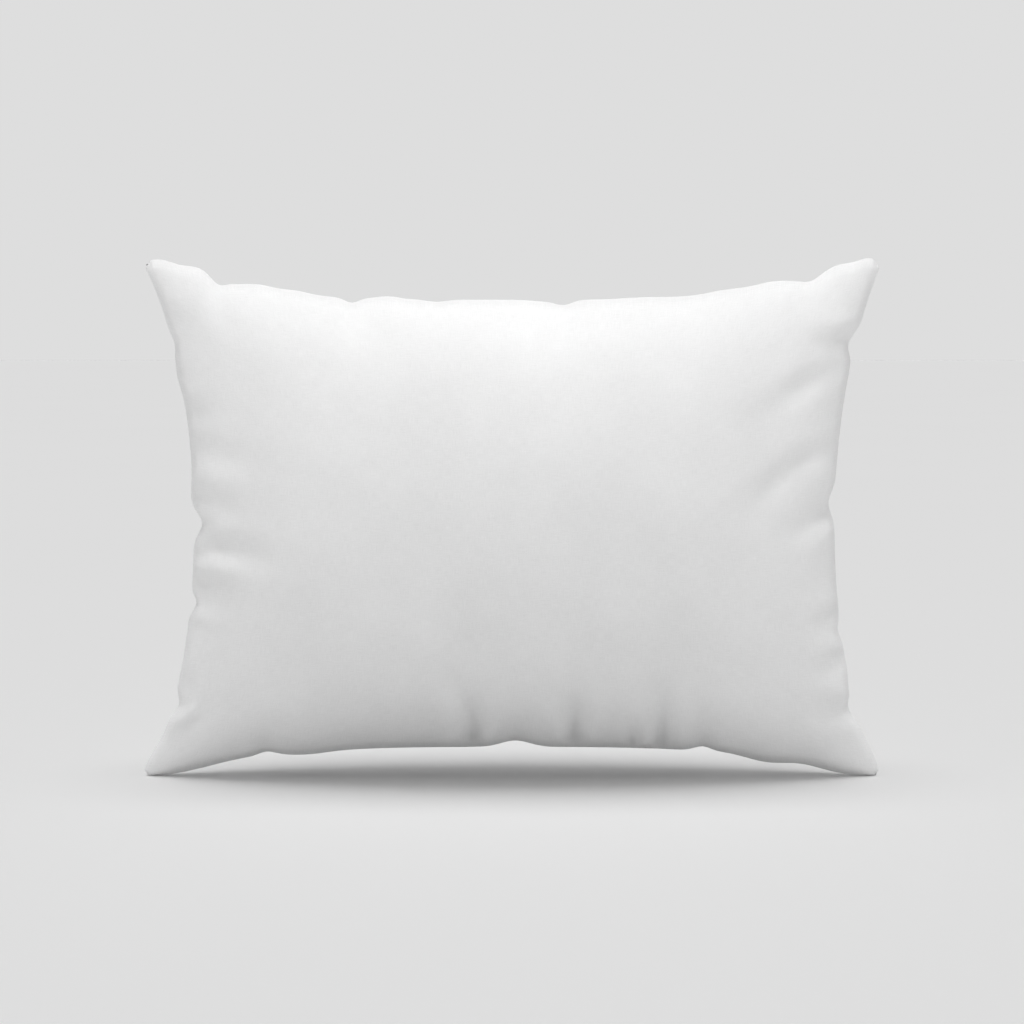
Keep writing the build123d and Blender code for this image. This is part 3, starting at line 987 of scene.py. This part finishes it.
mouth = (ZIP_LOW.x - MOUTH_SPARE, ZIP_HIGH.x + MOUTH_SPARE)
cover_front = cover_panel("cover_front", grids[0], -1)
cover_back = cover_panel("cover_back", grids[1], 1)
cover_allowance = allowance("cover_turned_edges", grids[0], mouth)
cover_thread = overlock("cover_overlock", grids[0], mouth)
dress(cover_front, COTTON, "pillow", "cotton_cover", "cover_front_panel")
dress(cover_back, COTTON, "pillow", "cotton_cover", "cover_back_panel")
dress(cover_allowance, COTTON, "pillow", "cotton_cover", "cover_seam_allowance")
dress(cover_thread, THREAD, "pillow", "sewing_thread", "cover_seam_thread")

inner = [
    fold_cloth(ticking_grid(plain_front, -1), FRONT_FOLDS),
    fold_cloth(ticking_grid(plain_back, 1), BACK_FOLDS),
]
for side, grid, name, node in (
    (-1, inner[0], "ticking_front", "ticking_front_panel"),
    (1, inner[1], "ticking_back", "ticking_back_panel"),
):
    fine = refine(grid)
    lining = one_side(seamed_lining(fine - CLOTH * normals(fine, side), fine), side)
    piece = thick_sheet(name, fine, lining, side, TICKING_CUT)
    dress(piece, TICKING, "pillow", "cotton_ticking", node)
ticking_allowance = allowance("ticking_turned_edges", inner[0])
ticking_thread = overlock("ticking_overlock", inner[0])
closing = closing_stitches("closing_stitches", inner[0])
label = care_label("care_tape", inner[1])
dress(ticking_allowance, TICKING, "pillow", "cotton_ticking", "ticking_seam_allowance")
dress(ticking_thread, THREAD, "pillow", "sewing_thread", "ticking_seam_thread")
dress(closing, THREAD, "pillow", "sewing_thread", "closing_stitch")
dress(label, LABEL, "pillow", "label_tape", "care_label")

core = []
for side, grid, name, node in (
    (-1, inner[0], "fibre_batt_front", "fibre_wrap_front"),
    (1, inner[1], "fibre_batt_back", "fibre_wrap_back"),
):
    outer = lumps(shrunk(grid, 0.0030), 0.0016, side + 2)
    within = lumps(shrunk(grid, 0.019), 0.0010, side + 5)
    outer[..., 1] += side * 0.002
    within[..., 1] += side * 0.002
    batt = thick_sheet(name, outer, within, side, TICKING_CUT)
    dress(batt, FIBRE, "pillow", "polyester_fibre", node)
    half = lumps(shrunk(grid, 0.0225), 0.0022, side + 9)
    core.append(half)
filling = closed_bag("fibre_filling", core[0], core[1], TICKING_CUT)
dress(filling, FIBRE, "pillow", "polyester_fibre", "fibre_core")

for side, end in ((-1, "front"), (1, "back")):
    tape = dress(zip_tape(f"tape_{end}", side), TAPE, "pillow", "zip_tape", f"zip_tape_{end}")
    dress(zip_coil(f"coil_{end}", side), NYLON, "pillow", "zip_coil", f"zip_coil_{end}")
dress(tape_stitches("tape_stitches"), THREAD, "pillow", "sewing_thread", "zip_stitching")
dress(bar_tacks("bar_tacks"), THREAD, "pillow", "sewing_thread", "zip_bar_tacks")
for name, node, width, body in (
    ("top_stops", "zip_top_stops", 0.0004, "pillow"),
    ("bottom_stop", "zip_bottom_stop", 0.0005, "pillow"),
    ("slider", "zip_slider", 0.0003, "slider"),
    ("pull", "zip_pull_tab", 0.0003, "pull_tab"),
):
    dress(softened(name, node, width), METAL, body, "zip_metal", node)


# ---------------------------------------------------------------- floor, light and camera


def floor():
    """A plain pale floor that ends far behind the pillow."""
    look = Look("studio_floor", 0.95)
    pale = 0.99 * BACKDROP / (ROOM + OVERHEAD / math.pi)
    grain = look.noise(look.place, (0.8, 0.8, 0.8), 2)
    look.colour(grain, (pale * 0.996,) * 3, (pale * 1.004,) * 3, 0.2, 0.8)
    look.shader.inputs["Specular IOR Level"].default_value = 0.0
    corners = [(-1, -1, 0), (1, -1, 0), (1, 1, 0), (-1, 1, 0)]
    points = FLOOR_SIZE * np.array(corners, dtype=float)
    piece = new_piece("floor", points, np.array([[0, 1, 2, 3]]))
    piece.data.materials.append(look.material)
    piece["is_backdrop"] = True


def backdrop():
    """A pale dome round the studio that shows behind the pillow and gives no light of its own."""
    bpy.ops.mesh.primitive_uv_sphere_add(segments=64, ring_count=32, radius=DOME_RADIUS)
    dome = bpy.context.object
    dome.name = "backdrop"
    dome.data.shade_smooth()
    material = bpy.data.materials.new("studio_backdrop")
    material.use_nodes = True
    material.node_tree.nodes.clear()
    glow = material.node_tree.nodes.new("ShaderNodeEmission")
    glow.inputs["Color"].default_value = (BACKDROP, BACKDROP, BACKDROP, 1)
    result = material.node_tree.nodes.new("ShaderNodeOutputMaterial")
    material.node_tree.links.new(glow.outputs[0], result.inputs["Surface"])
    dome.data.materials.append(material)
    dome.visible_diffuse = False
    dome.visible_glossy = False
    dome.visible_transmission = False
    dome.visible_shadow = False
    dome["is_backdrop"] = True


def lamp(kind, name, energy, place, turn):
    """A lamp at a place, turned from shining straight down."""
    data = bpy.data.lights.new(name, kind)
    data.energy = energy
    piece = bpy.data.objects.new(name, data)
    piece.location = place
    piece.rotation_euler = turn
    bpy.context.scene.collection.objects.link(piece)
    return piece


def facing(x, y):
    """The turn of a lamp that stands at x, y and shines level at the middle of the pillow."""
    return (math.pi / 2, 0, math.atan2(x, -y))


def light():
    """An even white room, a soft light overhead, and three softboxes on the pillow alone."""
    world = bpy.data.worlds.new("studio")
    bpy.context.scene.world = world
    world.use_nodes = True
    background = world.node_tree.nodes["Background"]
    background.inputs["Color"].default_value = (1, 1, 1, 1)
    background.inputs["Strength"].default_value = ROOM
    overhead = lamp("SUN", "overhead", OVERHEAD, (0, 0, 3), (math.radians(-3), 0, 0))
    overhead.data.angle = math.radians(34)
    lit = bpy.data.collections.new("lit_by_softboxes")
    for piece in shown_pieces():
        lit.objects.link(piece)
    boxes = [lamp("AREA", "softbox", SOFTBOX, SOFTBOX_PLACE, (SOFTBOX_TILT, 0, 0))]
    x, y, z = SIDE_PLACE
    for name, beside in (("softbox_left", -x), ("softbox_right", x)):
        boxes.append(lamp("AREA", name, SIDE_LIGHT, (beside, y, z), facing(beside, y)))
    for box in boxes:
        box.data.size = 0.5
        box.light_linking.receiver_collection = lit


def camera():
    """A long lens on the front of the pillow, from a little above."""
    lens = bpy.data.cameras.new("camera")
    lens.lens = 85
    lens.sensor_width = 36
    piece = bpy.data.objects.new("camera", lens)
    height = CAMERA_AIM + CAMERA_DISTANCE * math.sin(CAMERA_ANGLE)
    piece.location = (0, -CAMERA_DISTANCE * math.cos(CAMERA_ANGLE), height)
    piece.rotation_euler = (math.pi / 2 - CAMERA_ANGLE, 0, 0)
    bpy.context.scene.collection.objects.link(piece)
    bpy.context.scene.camera = piece
    bpy.context.scene.view_settings.view_transform = "Standard"


light()
floor()
backdrop()
camera()
